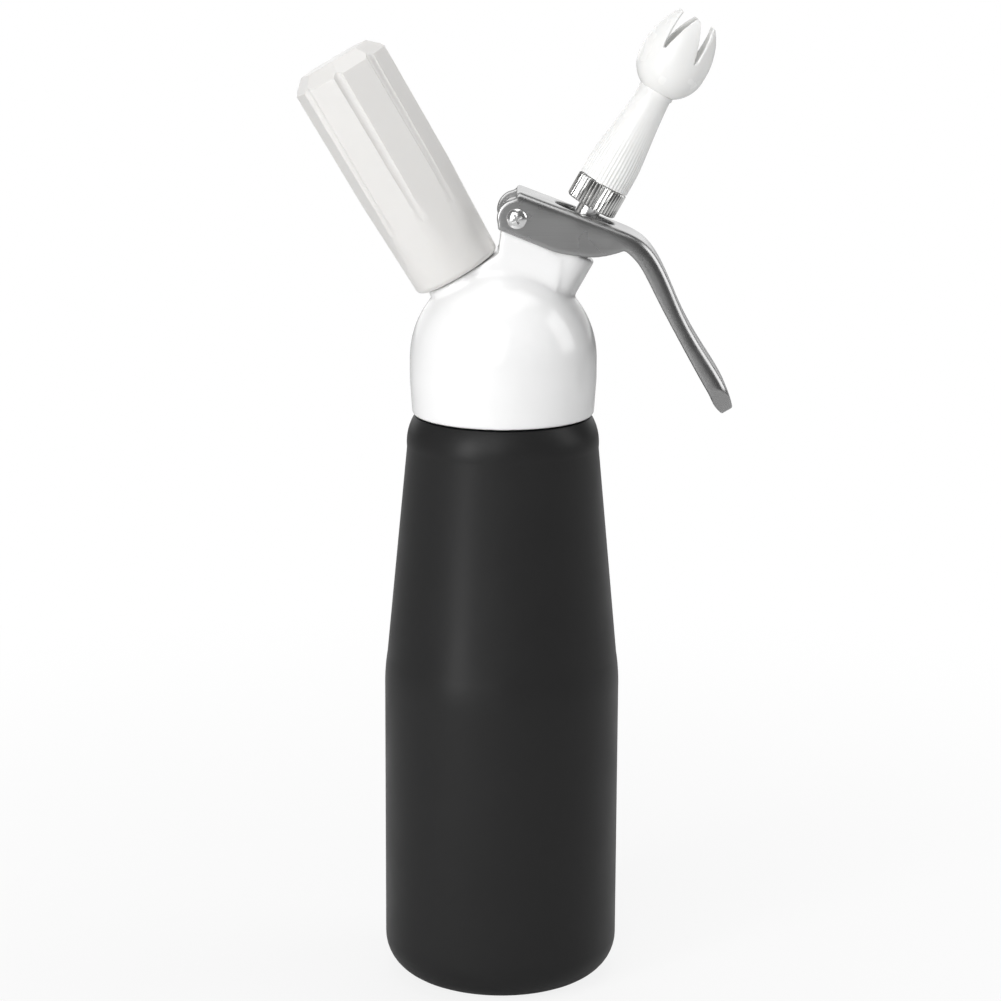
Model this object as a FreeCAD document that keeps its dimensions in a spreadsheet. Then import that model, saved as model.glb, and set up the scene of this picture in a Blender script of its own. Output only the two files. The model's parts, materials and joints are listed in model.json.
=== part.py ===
import FreeCAD, Part
import math
import os
import re
import Sketcher

# Whipped cream dispenser: a bottle with a screwed head that carries a gas charger in a holder,
# and a lever that pushes a sprung valve stem with a decorating nozzle.
# Frame: millimetres, +Z up, origin at the centre of the bottle's base, on the bottle's axis.
# The charger holder leans towards -X, the nozzle and the lever reach towards +X.

Vector = FreeCAD.Vector
doc = FreeCAD.newDocument("whipped_cream_dispenser")
sheet = doc.addObject("Spreadsheet::Sheet", "Sizes")

# Driving dimensions, in millimetres and degrees
SIZES = {
    # Bottle
    "bottle_radius": 40.0,
    "bottle_wall": 1.3,
    "base_corner": 13.0,
    "shoulder_length": 12.0,
    "shoulder_radius": 39.1,
    "shoulder_bend": 66.0,
    "taper_length": 71.5,
    "taper_radius": 32.3,
    "crown_length": 10.9,
    "crown_radius": 29.7,
    "crown_bend": 17.0,
    "bottle_height": 196.4,
    "neck_radius": 24.2,
    "neck_wall": 2.4,
    "neck_height": 14.4,
    # Head
    "rim_gap": 0.6,
    "rim_radius": 30.5,
    "dome_radius": 31.3,
    "dome_rise": 19.0,
    "skirt_bulge_rise": 12.0,
    "neck_clearance": 0.4,
    "seat_gap": 0.05,
    "gasket_thickness": 2.3,
    "gasket_width": 4.2,
    "cavity_radius": 20.0,
    "cavity_draft": 1.5,
    "cavity_top_radius": 9.0,
    "cavity_shoulder": 29.0,
    "cavity_top": 34.5,
    "cavity_bend": 14.0,
    # Left spur, charger side
    "gas_tilt": 30.3,
    "gas_rise": 21.8,
    "gas_spur_radius": 12.0,
    "gas_spur_length": 29.6,
    "gas_passage_start": 4.0,
    "stub_press_radius": 8.0,
    "stub_press_length": 11.6,
    "stub_flange_radius": 11.2,
    "stub_thread_length": 11.6,
    "stub_floor": 2.6,
    "capsule_pocket_radius": 4.7,
    "pin_radius": 1.6,
    "pin_vent_radius": 0.4,
    "pin_tip_radius": 0.5,
    "pin_shank_length": 1.0,
    "pin_flange_radius": 4.4,
    "pin_flange_thickness": 1.2,
    "pin_length": 4.2,
    "washer_thickness": 1.8,
    "washer_clearance": 0.3,
    "filter_radius": 4.2,
    "filter_thickness": 0.9,
    # Non-return valve
    "check_length": 9.5,
    "check_radius": 5.0,
    "check_wall": 1.6,
    "check_floor": 0.9,
    "check_port_radius": 1.3,
    "check_plunger_radius": 2.4,
    "check_plunger_height": 2.2,
    "check_wire": 0.22,
    "check_turns": 4.0,
    # Charger and its holder
    "capsule_radius": 9.0,
    "capsule_length": 66.0,
    "capsule_neck_radius": 4.4,
    "capsule_neck_length": 9.0,
    "capsule_shoulder": 10.0,
    "capsule_shoulder_bend": 13.0,
    "capsule_wall": 1.1,
    "capsule_gap": 0.3,
    "holder_gap": 0.3,
    "holder_floor": 6.3,
    "holder_foot_radius": 15.2,
    "holder_head_radius": 18.0,
    "holder_foot_apothem": 15.25,
    "holder_head_apothem": 16.0,
    "holder_end_chamfer": 4.6,
    "holder_foot_round": 2.0,
    "holder_thread_clearance": 0.08,
    "holder_thread_relief": 1.0,
    "holder_bore_clearance": 0.4,
    "flute_radius": 2.2,
    "flute_circle": 18.1,
    "cushion_thickness": 1.6,
    "cushion_gap": 0.5,
    # Right spur, nozzle side
    "spout_tilt": 29.2,
    "spout_rise": 18.7,
    "spout_spur_radius": 10.3,
    "spout_spur_length": 43.6,
    "spring_chamber_radius": 7.6,
    "spring_chamber_floor": 30.6,
    "guide_radius": 4.05,
    "seat_start": 21.6,
    "seat_length": 4.8,
    "seat_radius": 7.4,
    "seat_bore_radius": 5.2,
    "valve_pocket_radius": 9.0,
    "valve_pocket_start": 8.0,
    # Valve stem and what it carries
    "stem_radius": 4.0,
    "stem_bore_radius": 2.1,
    "stem_start": 15.8,
    "stem_top": 64.6,
    "port_radius": 1.3,
    "port_height": 24.0,
    "seal_radius": 6.6,
    "seal_thickness": 2.0,
    "seal_gap": 0.03,
    "nut_radius": 5.6,
    "nut_thickness": 2.6,
    "stem_ring_height": 28.4,
    "ring_wire": 0.9,
    "ring_squeeze": 0.06,
    "washer_height": 51.4,
    "washer_radius": 7.7,
    "washer_disc": 2.4,
    "washer_bevel": 1.2,
    "spring_wire": 1.1,
    "spring_radius": 5.8,
    "spring_turns": 5.0,
    "bush_radius": 7.55,
    "bush_thickness": 1.6,
    "bush_clearance": 0.06,
    # Adaptor and nozzle
    "adaptor_start": 58.7,
    "adaptor_length": 8.6,
    "adaptor_radius": 8.75,
    "adaptor_edge": 0.5,
    "knurl_count": 44,
    "knurl_radius": 0.42,
    "knurl_depth": 0.27,
    "knurl_overrun": 1.0,
    "spigot_radius": 6.0,
    "spigot_length": 6.0,
    "spigot_bore_radius": 3.0,
    "nozzle_clearance": 0.08,
    "ring_slot": 0.8,
    "ring_drop": 2.0,
    "spigot_end_gap": 0.4,
    "nozzle_gap": 0.3,
    "nozzle_foot_radius": 8.6,
    "nozzle_waist_radius": 8.3,
    "nozzle_waist_height": 9.5,
    "nozzle_upper_radius": 6.5,
    "nozzle_upper_height": 22.5,
    "nozzle_neck_radius": 5.6,
    "nozzle_neck_height": 33.7,
    "nozzle_bead_radius": 6.1,
    "nozzle_bead_length": 1.0,
    "nozzle_bore_shoulder": 13.5,
    "bulb_root_radius": 5.9,
    "bulb_root_rise": 3.0,
    "bulb_radius": 11.7,
    "bulb_height": 44.6,
    "bulb_lower_bend": 11.5,
    "bulb_upper_bend": 27.0,
    "nozzle_length": 61.4,
    "mouth_radius": 7.2,
    "nozzle_wall": 1.4,
    "prong_count": 6,
    "slot_depth": 12.8,
    "slot_mouth": 5.9,
    "slot_end": 0.7,
    # Lever
    "pivot_x": 4.2,
    "pivot_rise": 67.2,
    "lever_width": 25.0,
    "lever_sheet": 1.5,
    "lever_bend": 3.4,
    "lever_end_radius": 6.6,
    "lever_tip_corner": 11.0,
    "lever_slot_length": 21.0,
    "lever_slot_width": 12.6,
    "lever_slot_x": 26.9,
    # Hinge block and its screws
    "hinge_side_clearance": 0.3,
    "hinge_boss_radius": 4.6,
    "block_nose_x": 8.0,
    "block_nose_drop": 6.2,
    "block_root_x": 15.0,
    "block_root_drop": 14.0,
    "block_base_x": 12.0,
    "block_base_rise": 14.0,
    "block_back_x": 18.0,
    "block_heel_x": 18.6,
    "block_heel_drop": 19.6,
    "block_throat_x": 5.9,
    "block_throat_drop": 12.2,
    "pin_tube_radius": 3.0,
    "pin_tube_clearance": 0.05,
    "screw_shank_radius": 1.6,
    "screw_shank_length": 8.0,
    "screw_head_radius": 3.3,
    "screw_head_height": 1.9,
    "screw_head_edge": 0.5,
    "screw_head_dome": 4.6,
    "screw_seat_gap": 0.1,
    "screw_cross_length": 3.6,
    "screw_cross_width": 0.8,
    "screw_cross_depth": 0.9,
}


# Levels that follow from the sizes above, kept in the same sheet
LEVELS = {
    "taper_level": "bottle_height - crown_length",
    "shoulder_level": "taper_level - taper_length",
    "straight_level": "shoulder_level - shoulder_length",
    "rim_height": "bottle_height + rim_gap",
    "head_seat": "neck_height - rim_gap + seat_gap + gasket_thickness",
    "stub_press_start": "gas_spur_length - stub_press_length",
    "filter_start": "stub_press_start - filter_thickness",
    "check_start": "stub_press_start - check_length",
    "check_top": "filter_start - check_floor",
    "pin_seat": "gas_spur_length + stub_floor",
    "capsule_start": "pin_seat + pin_length + capsule_gap",
    "capsule_end": "capsule_start + capsule_length",
    "stub_top": "gas_spur_length + stub_thread_length",
    "holder_start": "gas_spur_length + holder_gap",
    "holder_pocket_end": "capsule_end + cushion_gap + cushion_thickness + seat_gap",
    "holder_end": "holder_pocket_end + holder_floor",
    "block_width": "lever_width - lever_sheet * 2 - hinge_side_clearance * 2",
    "seal_top": "seat_start - seal_gap",
    "spigot_top": "adaptor_start + adaptor_length + spigot_length",
    "ring_level": "spigot_top - ring_drop",
    "nozzle_start": "adaptor_start + adaptor_length + nozzle_gap",
    "nozzle_end": "nozzle_start + nozzle_length",
    "bead_level": "nozzle_start + nozzle_neck_height",
    "bead_end": "bead_level + nozzle_bead_length",
    "screw_seat": "lever_width / 2 + screw_seat_gap",
}


def add_cell(row, name, number):
    sheet.set("A%d" % row, name)
    sheet.set("B%d" % row, str(number))
    sheet.setAlias("B%d" % row, name)


def fill_sheet():
    for row, (name, number) in enumerate(SIZES.items(), start=1):
        add_cell(row, name, number)
    doc.recompute()
    for row, (name, formula) in enumerate(LEVELS.items(), start=len(SIZES) + 1):
        add_cell(row, name, float(sheet.evalExpression(formula)))
        doc.recompute()


fill_sheet()


def value(expression):
    """The number that a formula of the sheet's names gives."""
    return float(sheet.evalExpression(expression))


def linked(expression):
    """The same formula as another object has to write it."""
    return re.sub(r"([a-z][a-z_]+)", r"Sizes.\1", expression)


def bind(thing, **formulas):
    for field, formula in formulas.items():
        thing.setExpression(field, linked(formula))


def origin_plane(body, role):
    for feature in body.Origin.OriginFeatures:
        if feature.Role == role:
            return feature
    raise ValueError("no plane called " + role)


def arc_middle(start, end, radius, side):
    """Middle of the short arc between two points; side is +1 left of the way, -1 right of it."""
    chord = end - start
    half = chord.Length / 2.0
    centre_offset = math.sqrt(max(radius * radius - half * half, 0.0))
    sagitta = radius - centre_offset
    across = Vector(-chord.y, chord.x, 0).normalize()
    return (start + end) * 0.5 + across * (side * sagitta)


def draw_outline(sketch, outline):
    """Closed outline: each entry is (x, y) or (x, y, radius, side), the arc that leaves that point."""
    points = [Vector(value(entry[0]), value(entry[1]), 0) for entry in outline]
    starts = []
    ends = []
    for index, entry in enumerate(outline):
        start = points[index]
        end = points[(index + 1) % len(outline)]
        turn_left = len(entry) > 2 and entry[3] > 0
        if len(entry) == 2:
            number = sketch.addGeometry(Part.LineSegment(start, end), False)
        else:
            middle = arc_middle(start, end, value(entry[2]), entry[3])
            first, last = (end, start) if turn_left else (start, end)
            number = sketch.addGeometry(Part.Arc(first, middle, last), False)
        starts.append((number, 2 if turn_left else 1))
        ends.append((number, 1 if turn_left else 2))
    for index, entry in enumerate(outline):
        following = starts[(index + 1) % len(outline)]
        sketch.addConstraint(Sketcher.Constraint("Coincident", *ends[index], *following))
    for index, entry in enumerate(outline):
        for kind, formula, axis in (("DistanceX", entry[0], -2), ("DistanceY", entry[1], -1)):
            amount = value(formula)
            if abs(amount) < 1e-9:
                sketch.addConstraint(Sketcher.Constraint("PointOnObject", *starts[index], axis))
                continue
            number = sketch.addConstraint(Sketcher.Constraint(kind, -1, 1, *starts[index], amount))
            sketch.setExpression("Constraints[%d]" % number, linked(formula))
        if len(entry) > 2:
            number = sketch.addConstraint(Sketcher.Constraint("Radius", starts[index][0], value(entry[2])))
            sketch.setExpression("Constraints[%d]" % number, linked(entry[2]))


def new_body(name):
    body = doc.addObject("PartDesign::Body", name)
    body.Label = name
    return body


def add_sketch(body, name, outline, plane="XZ_Plane"):
    sketch = body.newObject("Sketcher::SketchObject", name)
    sketch.AttachmentSupport = [(origin_plane(body, plane), "")]
    sketch.MapMode = "FlatFace"
    draw_outline(sketch, outline)
    return sketch


def turned(name, outline):
    """A body turned about its own Z axis from a half outline of (radius, height)."""
    body = new_body(name)
    sketch = add_sketch(body, name + "_outline", outline)
    turn = body.newObject("PartDesign::Revolution", name + "_turn")
    turn.Profile = sketch
    turn.ReferenceAxis = (sketch, ["V_Axis"])
    turn.Angle = 360.0
    body.Tip = turn
    doc.recompute()
    return body


def padded(name, outline, length, symmetric=True, plane="XZ_Plane"):
    body = new_body(name)
    sketch = add_sketch(body, name + "_outline", outline, plane)
    pad = body.newObject("PartDesign::Pad", name + "_pad")
    pad.Profile = sketch
    pad.SideType = "Symmetric" if symmetric else "One side"
    pad.Length = value(length)
    pad.setExpression("Length", linked(length))
    body.Tip = pad
    doc.recompute()
    return body


def ring(name, inner, outer, start, thickness):
    """A plain flat ring or, with no inner radius, a disc."""
    return turned(name, [
        (inner, start),
        (outer, start),
        (outer, "%s + %s" % (start, thickness)),
        (inner, "%s + %s" % (start, thickness)),
    ])


def cylinder(name, radius, start, length):
    shape = doc.addObject("Part::Cylinder", name)
    shape.Label = name
    bind(shape, Radius=radius, Height=length)
    shape.Placement.Base = Vector(0, 0, value(start))
    return shape


def cut(name, base, tools):
    """The base with every tool taken out of it."""
    cutter = tools[0]
    if len(tools) > 1:
        cutter = doc.addObject("Part::MultiFuse", name + "_tools")
        cutter.Shapes = tools
    result = doc.addObject("Part::Cut", name)
    result.Base = base
    result.Tool = cutter
    result.Label = name
    doc.recompute()
    return result


def fuse(name, shapes):
    result = doc.addObject("Part::MultiFuse", name)
    result.Shapes = shapes
    result.Refine = True
    result.Label = name
    doc.recompute()
    return result


RIM = value("rim_height")


def axis_placement(rise, tilt, spin=0.0):
    """Frame of a spur: its Z axis leans by tilt degrees towards +X from a point on the bottle's axis."""
    lean = FreeCAD.Rotation(Vector(0, 1, 0), tilt)
    turn = FreeCAD.Rotation(Vector(0, 0, 1), spin)
    return FreeCAD.Placement(Vector(0, 0, RIM + rise), lean * turn)


def on_spout(spin=0.0):
    return axis_placement(value("spout_rise"), value("spout_tilt"), spin)


def on_gas(spin=0.0):
    return axis_placement(value("gas_rise"), -value("gas_tilt"), spin)


def on_rim():
    return FreeCAD.Placement(Vector(0, 0, RIM), FreeCAD.Rotation())


def moved(thing, placement):
    """The same shape carried into a spur's frame."""
    thing.Placement = placement.multiply(thing.Placement)
    return thing


parts = []


def keep(thing, placement=None):
    if placement is not None:
        moved(thing, placement)
    parts.append(thing)
    return thing


# Bottle: spun aluminium shell with a plain neck
def make_bottle():
    keep(turned("bottle", [
        ("0", "0"),
        ("bottle_radius - base_corner", "0", "base_corner", -1),
        ("bottle_radius", "base_corner"),
        ("bottle_radius", "straight_level", "shoulder_bend", -1),
        ("shoulder_radius", "shoulder_level"),
        ("taper_radius", "taper_level", "crown_bend", -1),
        ("crown_radius", "bottle_height"),
        ("neck_radius", "bottle_height"),
        ("neck_radius", "bottle_height + neck_height"),
        ("neck_radius - neck_wall", "bottle_height + neck_height"),
        ("neck_radius - neck_wall", "bottle_height - bottle_wall * 2"),
        ("crown_radius - bottle_wall * 1.6", "bottle_height - bottle_wall * 2"),
        ("taper_radius - bottle_wall", "taper_level"),
        ("shoulder_radius - bottle_wall", "shoulder_level"),
        ("bottle_radius - bottle_wall", "straight_level"),
        ("bottle_radius - bottle_wall", "base_corner", "base_corner - bottle_wall", 1),
        ("bottle_radius - base_corner", "bottle_wall"),
        ("0", "bottle_wall"),
    ]))


# Head: one moulding with the skirt, the dome, two spurs and the hinge block
def make_head():
    dome = turned("dome", [
        ("0", "0"),
        ("rim_radius", "0"),
        ("dome_radius", "skirt_bulge_rise"),
        ("dome_radius", "dome_rise", "dome_radius", -1),
        ("0", "dome_rise + dome_radius"),
    ])
    gas_spur = moved(cylinder("gas_spur", "gas_spur_radius", "0", "gas_spur_length"), on_gas())
    gas_spur.Placement.Base.z -= RIM
    spout_spur = moved(cylinder("spout_spur", "spout_spur_radius", "0", "spout_spur_length"), on_spout())
    spout_spur.Placement.Base.z -= RIM
    block = padded("hinge_block", [
        ("pivot_x - hinge_boss_radius", "pivot_rise", "hinge_boss_radius", 1),
        ("pivot_x", "pivot_rise + hinge_boss_radius", "hinge_boss_radius", 1),
        ("pivot_x + hinge_boss_radius", "pivot_rise"),
        ("pivot_x + block_nose_x", "pivot_rise - block_nose_drop"),
        ("pivot_x + block_root_x", "pivot_rise - block_root_drop"),
        ("pivot_x + block_base_x", "dome_rise + block_base_rise"),
        ("pivot_x - block_back_x", "dome_rise + block_base_rise"),
        ("pivot_x - block_heel_x", "pivot_rise - block_heel_drop"),
        ("pivot_x - block_throat_x", "pivot_rise - block_throat_drop"),
    ], "block_width")
    head = fuse("head_blank", [dome, gas_spur, spout_spur, block])
    inside = turned("head_inside", [
        ("0", "-1"),
        ("neck_radius + neck_clearance", "-1"),
        ("neck_radius + neck_clearance", "head_seat"),
        ("cavity_radius", "head_seat"),
        ("cavity_radius - cavity_draft", "cavity_shoulder", "cavity_bend", -1),
        ("cavity_top_radius", "cavity_top"),
        ("0", "cavity_top"),
    ])
    tools = [inside]
    spout_cuts = [
        cylinder("valve_pocket", "valve_pocket_radius", "valve_pocket_start", "seat_start - valve_pocket_start"),
        cylinder("seat_pocket", "seat_radius", "seat_start", "seat_length"),
        cylinder("guide_hole", "guide_radius", "seat_start", "spout_spur_length"),
        cylinder("spring_chamber", "spring_chamber_radius", "spring_chamber_floor", "spout_spur_length"),
        cylinder("ring_groove", "stem_radius + ring_wire * 2", "stem_ring_height - ring_wire", "ring_wire * 2"),
    ]
    gas_cuts = [
        cylinder("stub_hole", "stub_press_radius", "stub_press_start", "gas_spur_length"),
        cylinder("check_hole", "check_radius", "check_start", "gas_spur_length"),
        cylinder("gas_passage", "check_radius - check_wall", "gas_passage_start", "gas_spur_length"),
    ]
    for piece, frame in [(c, on_spout()) for c in spout_cuts] + [(c, on_gas()) for c in gas_cuts]:
        moved(piece, frame)
        piece.Placement.Base.z -= RIM
        tools.append(piece)
    bore = doc.addObject("Part::Cylinder", "pivot_bore")
    bind(bore, Radius="pin_tube_radius + pin_tube_clearance", Height="lever_width")
    half = value("lever_width") / 2.0
    bore.Placement = FreeCAD.Placement(Vector(value("pivot_x"), half, value("pivot_rise")),
                                       FreeCAD.Rotation(Vector(1, 0, 0), 90))
    tools.append(bore)
    keep(cut("head_shell", head, tools), on_rim())
    keep(ring("head_gasket", "neck_radius + neck_clearance - gasket_width", "neck_radius + neck_clearance - seat_gap",
              "head_seat - gasket_thickness", "gasket_thickness - seat_gap"), on_rim())


# Charger side: threaded stub, piercing pin, sealing washer, filter and non-return valve
def make_gas_inlet():
    keep(turned("charger_stub", [
        ("check_port_radius", "stub_press_start"),
        ("stub_press_radius", "stub_press_start"),
        ("stub_press_radius", "gas_spur_length"),
        ("stub_flange_radius", "gas_spur_length"),
        ("stub_flange_radius", "stub_top"),
        ("capsule_pocket_radius", "stub_top"),
        ("capsule_pocket_radius", "pin_seat"),
        ("check_port_radius", "pin_seat"),
    ]), on_gas())
    keep(turned("piercing_pin", [
        ("pin_vent_radius", "pin_seat"),
        ("pin_flange_radius", "pin_seat"),
        ("pin_flange_radius", "pin_seat + pin_flange_thickness"),
        ("pin_radius", "pin_seat + pin_flange_thickness"),
        ("pin_radius", "pin_seat + pin_flange_thickness + pin_shank_length"),
        ("pin_tip_radius", "pin_seat + pin_length"),
        ("pin_vent_radius", "pin_seat + pin_length"),
    ]), on_gas())
    keep(ring("charger_washer", "pin_radius + washer_clearance", "capsule_pocket_radius",
              "pin_seat + pin_flange_thickness", "washer_thickness"), on_gas())
    keep(ring("gas_filter", "0", "filter_radius", "filter_start", "filter_thickness"), on_gas())
    keep(turned("check_valve_cage", [
        ("check_port_radius", "check_start"),
        ("check_radius", "check_start"),
        ("check_radius", "filter_start"),
        ("check_port_radius", "filter_start"),
        ("check_port_radius", "check_top"),
        ("check_radius - check_wall", "check_top"),
        ("check_radius - check_wall", "check_start + check_floor"),
        ("check_port_radius", "check_start + check_floor"),
    ]), on_gas())
    keep(ring("check_valve_disc", "0", "check_plunger_radius",
              "check_top - seat_gap - check_plunger_height", "check_plunger_height"), on_gas())


def helix_tube(name, radius, wire, turns, start, length):
    """An open-ended compression spring; its end coils lie wire clear of both seats."""
    height = length - 2.0 * wire
    path = Part.makeHelix(height / turns, height, radius)
    profile = Part.Wire([Part.makeCircle(wire, Vector(radius, 0, 0), Vector(0, 1, 0))])
    shape = Part.Wire(path).makePipeShell([profile], True, True)
    shape.translate(Vector(0, 0, start + wire))
    coil = doc.addObject("Part::Feature", name)
    coil.Label = name
    coil.Shape = shape
    print(name, "gap between turns", round(height / turns - 2.0 * wire, 2))
    return coil


# Charger, its holder and the soft cushion at the holder's closed end
def make_charger():
    keep(turned("gas_charger", [
        ("0", "capsule_start"),
        ("capsule_neck_radius", "capsule_start"),
        ("capsule_neck_radius", "capsule_start + capsule_neck_length", "capsule_shoulder_bend", -1),
        ("capsule_radius", "capsule_start + capsule_neck_length + capsule_shoulder"),
        ("capsule_radius", "capsule_end - capsule_radius", "capsule_radius", -1),
        ("0", "capsule_end"),
        ("0", "capsule_end - capsule_wall", "capsule_radius - capsule_wall", 1),
        ("capsule_radius - capsule_wall", "capsule_end - capsule_radius"),
        ("capsule_radius - capsule_wall", "capsule_start + capsule_neck_length + capsule_shoulder"),
        ("capsule_neck_radius - capsule_wall", "capsule_start + capsule_neck_length"),
        ("capsule_neck_radius - capsule_wall", "capsule_start + capsule_wall"),
        ("0", "capsule_start + capsule_wall"),
    ]), on_gas())


def regular_polygon(name, circumradius, height):
    polygon = doc.addObject("Part::RegularPolygon", name)
    polygon.Polygon = 8
    bind(polygon, Circumradius=circumradius)
    polygon.Placement.Base = Vector(0, 0, value(height))
    return polygon


def make_holder():
    # The outside is round at the foot and grows into an eight-sided head with a bevelled end.
    round_blank = turned("holder_round", [
        ("0", "holder_start"),
        ("holder_foot_radius - holder_foot_round", "holder_start", "holder_foot_round", -1),
        ("holder_foot_radius", "holder_start + holder_foot_round"),
        ("holder_head_radius", "holder_end"),
        ("0", "holder_end"),
    ])
    corner = 1.0 / math.cos(math.pi / 8)
    sections = [
        regular_polygon("holder_foot_section", "holder_foot_apothem * %.6f" % corner, "holder_start"),
        regular_polygon("holder_head_section", "holder_head_apothem * %.6f" % corner,
                        "holder_end - holder_end_chamfer"),
        regular_polygon("holder_end_section", "(holder_head_apothem - holder_end_chamfer) * %.6f" % corner,
                        "holder_end"),
    ]
    facets = doc.addObject("Part::Loft", "holder_facets")
    facets.Sections = sections
    facets.Solid = True
    facets.Ruled = True
    blank = doc.addObject("Part::MultiCommon", "holder_blank")
    blank.Shapes = [round_blank, facets]
    tools = []
    for index in range(8):
        angle = math.radians(45.0 * index)
        flute = cylinder("holder_flute_%d" % index, "flute_radius", "0", "holder_end + holder_floor")
        flute.Placement.Base.x = value("flute_circle") * math.cos(angle)
        flute.Placement.Base.y = value("flute_circle") * math.sin(angle)
        tools.append(flute)
    tools.append(turned("holder_inside", [
        ("0", "0"),
        ("stub_flange_radius + holder_thread_clearance", "0"),
        ("stub_flange_radius + holder_thread_clearance", "stub_top + holder_thread_relief"),
        ("capsule_radius + holder_bore_clearance", "stub_top + holder_thread_relief + holder_foot_round"),
        ("capsule_radius + holder_bore_clearance", "holder_pocket_end"),
        ("0", "holder_pocket_end"),
    ]))
    holder = cut("charger_holder", blank, tools)
    keep(holder, on_gas())
    keep(ring("holder_cushion", "0", "capsule_radius", "capsule_end + cushion_gap", "cushion_thickness"), on_gas())


# Nozzle side: seat, stem, seals, spring, push washer, knurled adaptor and the nozzle itself
def make_valve():
    keep(ring("valve_seat", "seat_bore_radius", "seat_radius", "seat_start", "seat_length"), on_spout())
    bore = "stem_bore_radius"
    stem_blank = turned("stem_blank", [
        ("0", "stem_start"),
        ("stem_radius", "stem_start"),
        ("stem_radius", "stem_top"),
        (bore, "stem_top"),
        (bore, "port_height - port_radius * 2"),
        ("0", "port_height - port_radius * 2"),
    ])
    port = cylinder("stem_port", "port_radius", "0", "stem_radius * 4")
    half = value("stem_radius") * 2.0
    port.Placement = FreeCAD.Placement(Vector(-half, 0, value("port_height")),
                                       FreeCAD.Rotation(Vector(0, 1, 0), 90))
    keep(cut("valve_stem", stem_blank, [port]), on_spout())
    keep(ring("valve_seal", "stem_radius", "seal_radius", "seal_top - seal_thickness", "seal_thickness"), on_spout())
    keep(ring("valve_nut", "stem_radius", "nut_radius", "seal_top - seal_thickness - nut_thickness",
              "nut_thickness"), on_spout())
    o_ring = doc.addObject("Part::Torus", "stem_ring")
    o_ring.Label = "stem_ring"
    bind(o_ring, Radius1="stem_radius + ring_wire", Radius2="ring_wire - ring_squeeze")
    o_ring.Placement.Base = Vector(0, 0, value("stem_ring_height"))
    keep(o_ring, on_spout())
    keep(ring("spring_bush", "stem_radius + bush_clearance", "bush_radius", "spring_chamber_floor",
              "bush_thickness"), on_spout())
    keep(turned("push_washer", [
        ("stem_radius", "washer_height"),
        ("washer_radius", "washer_height"),
        ("washer_radius", "washer_height + washer_disc - washer_bevel / 2"),
        ("washer_radius - washer_bevel", "washer_height + washer_disc"),
        ("stem_radius", "washer_height + washer_disc"),
    ]), on_spout())
    start = value("spring_chamber_floor + bush_thickness")
    length = value("washer_height") - start
    keep(helix_tube("valve_spring", value("spring_radius"), value("spring_wire") / 2.0,
                    value("spring_turns"), start, length), on_spout())
    check_low = value("check_start + check_floor")
    check_high = value("check_top - seat_gap - check_plunger_height")
    keep(helix_tube("check_valve_spring", value("check_plunger_radius - check_wire * 2"), value("check_wire"),
                    value("check_turns"), check_low, check_high - check_low), on_gas())


def make_adaptor():
    blank = turned("adaptor_blank", [
        ("stem_radius", "adaptor_start"),
        ("adaptor_radius - adaptor_edge", "adaptor_start"),
        ("adaptor_radius", "adaptor_start + adaptor_edge"),
        ("adaptor_radius", "adaptor_start + adaptor_length - adaptor_edge"),
        ("adaptor_radius - adaptor_edge", "adaptor_start + adaptor_length"),
        ("spigot_radius", "adaptor_start + adaptor_length"),
        ("spigot_radius", "spigot_top"),
        ("spigot_bore_radius", "spigot_top"),
        ("spigot_bore_radius", "stem_top"),
        ("stem_radius", "stem_top"),
    ])
    tools = []
    count = int(value("knurl_count"))
    for index in range(count):
        angle = 2.0 * math.pi * index / count
        groove = cylinder("knurl_%d" % index, "knurl_radius", "adaptor_start - knurl_overrun",
                          "adaptor_length + knurl_overrun * 2")
        reach = value("adaptor_radius + knurl_radius - knurl_depth")
        groove.Placement.Base.x = reach * math.cos(angle)
        groove.Placement.Base.y = reach * math.sin(angle)
        tools.append(groove)
    keep(cut("nozzle_adaptor", blank, tools), on_spout())


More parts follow.
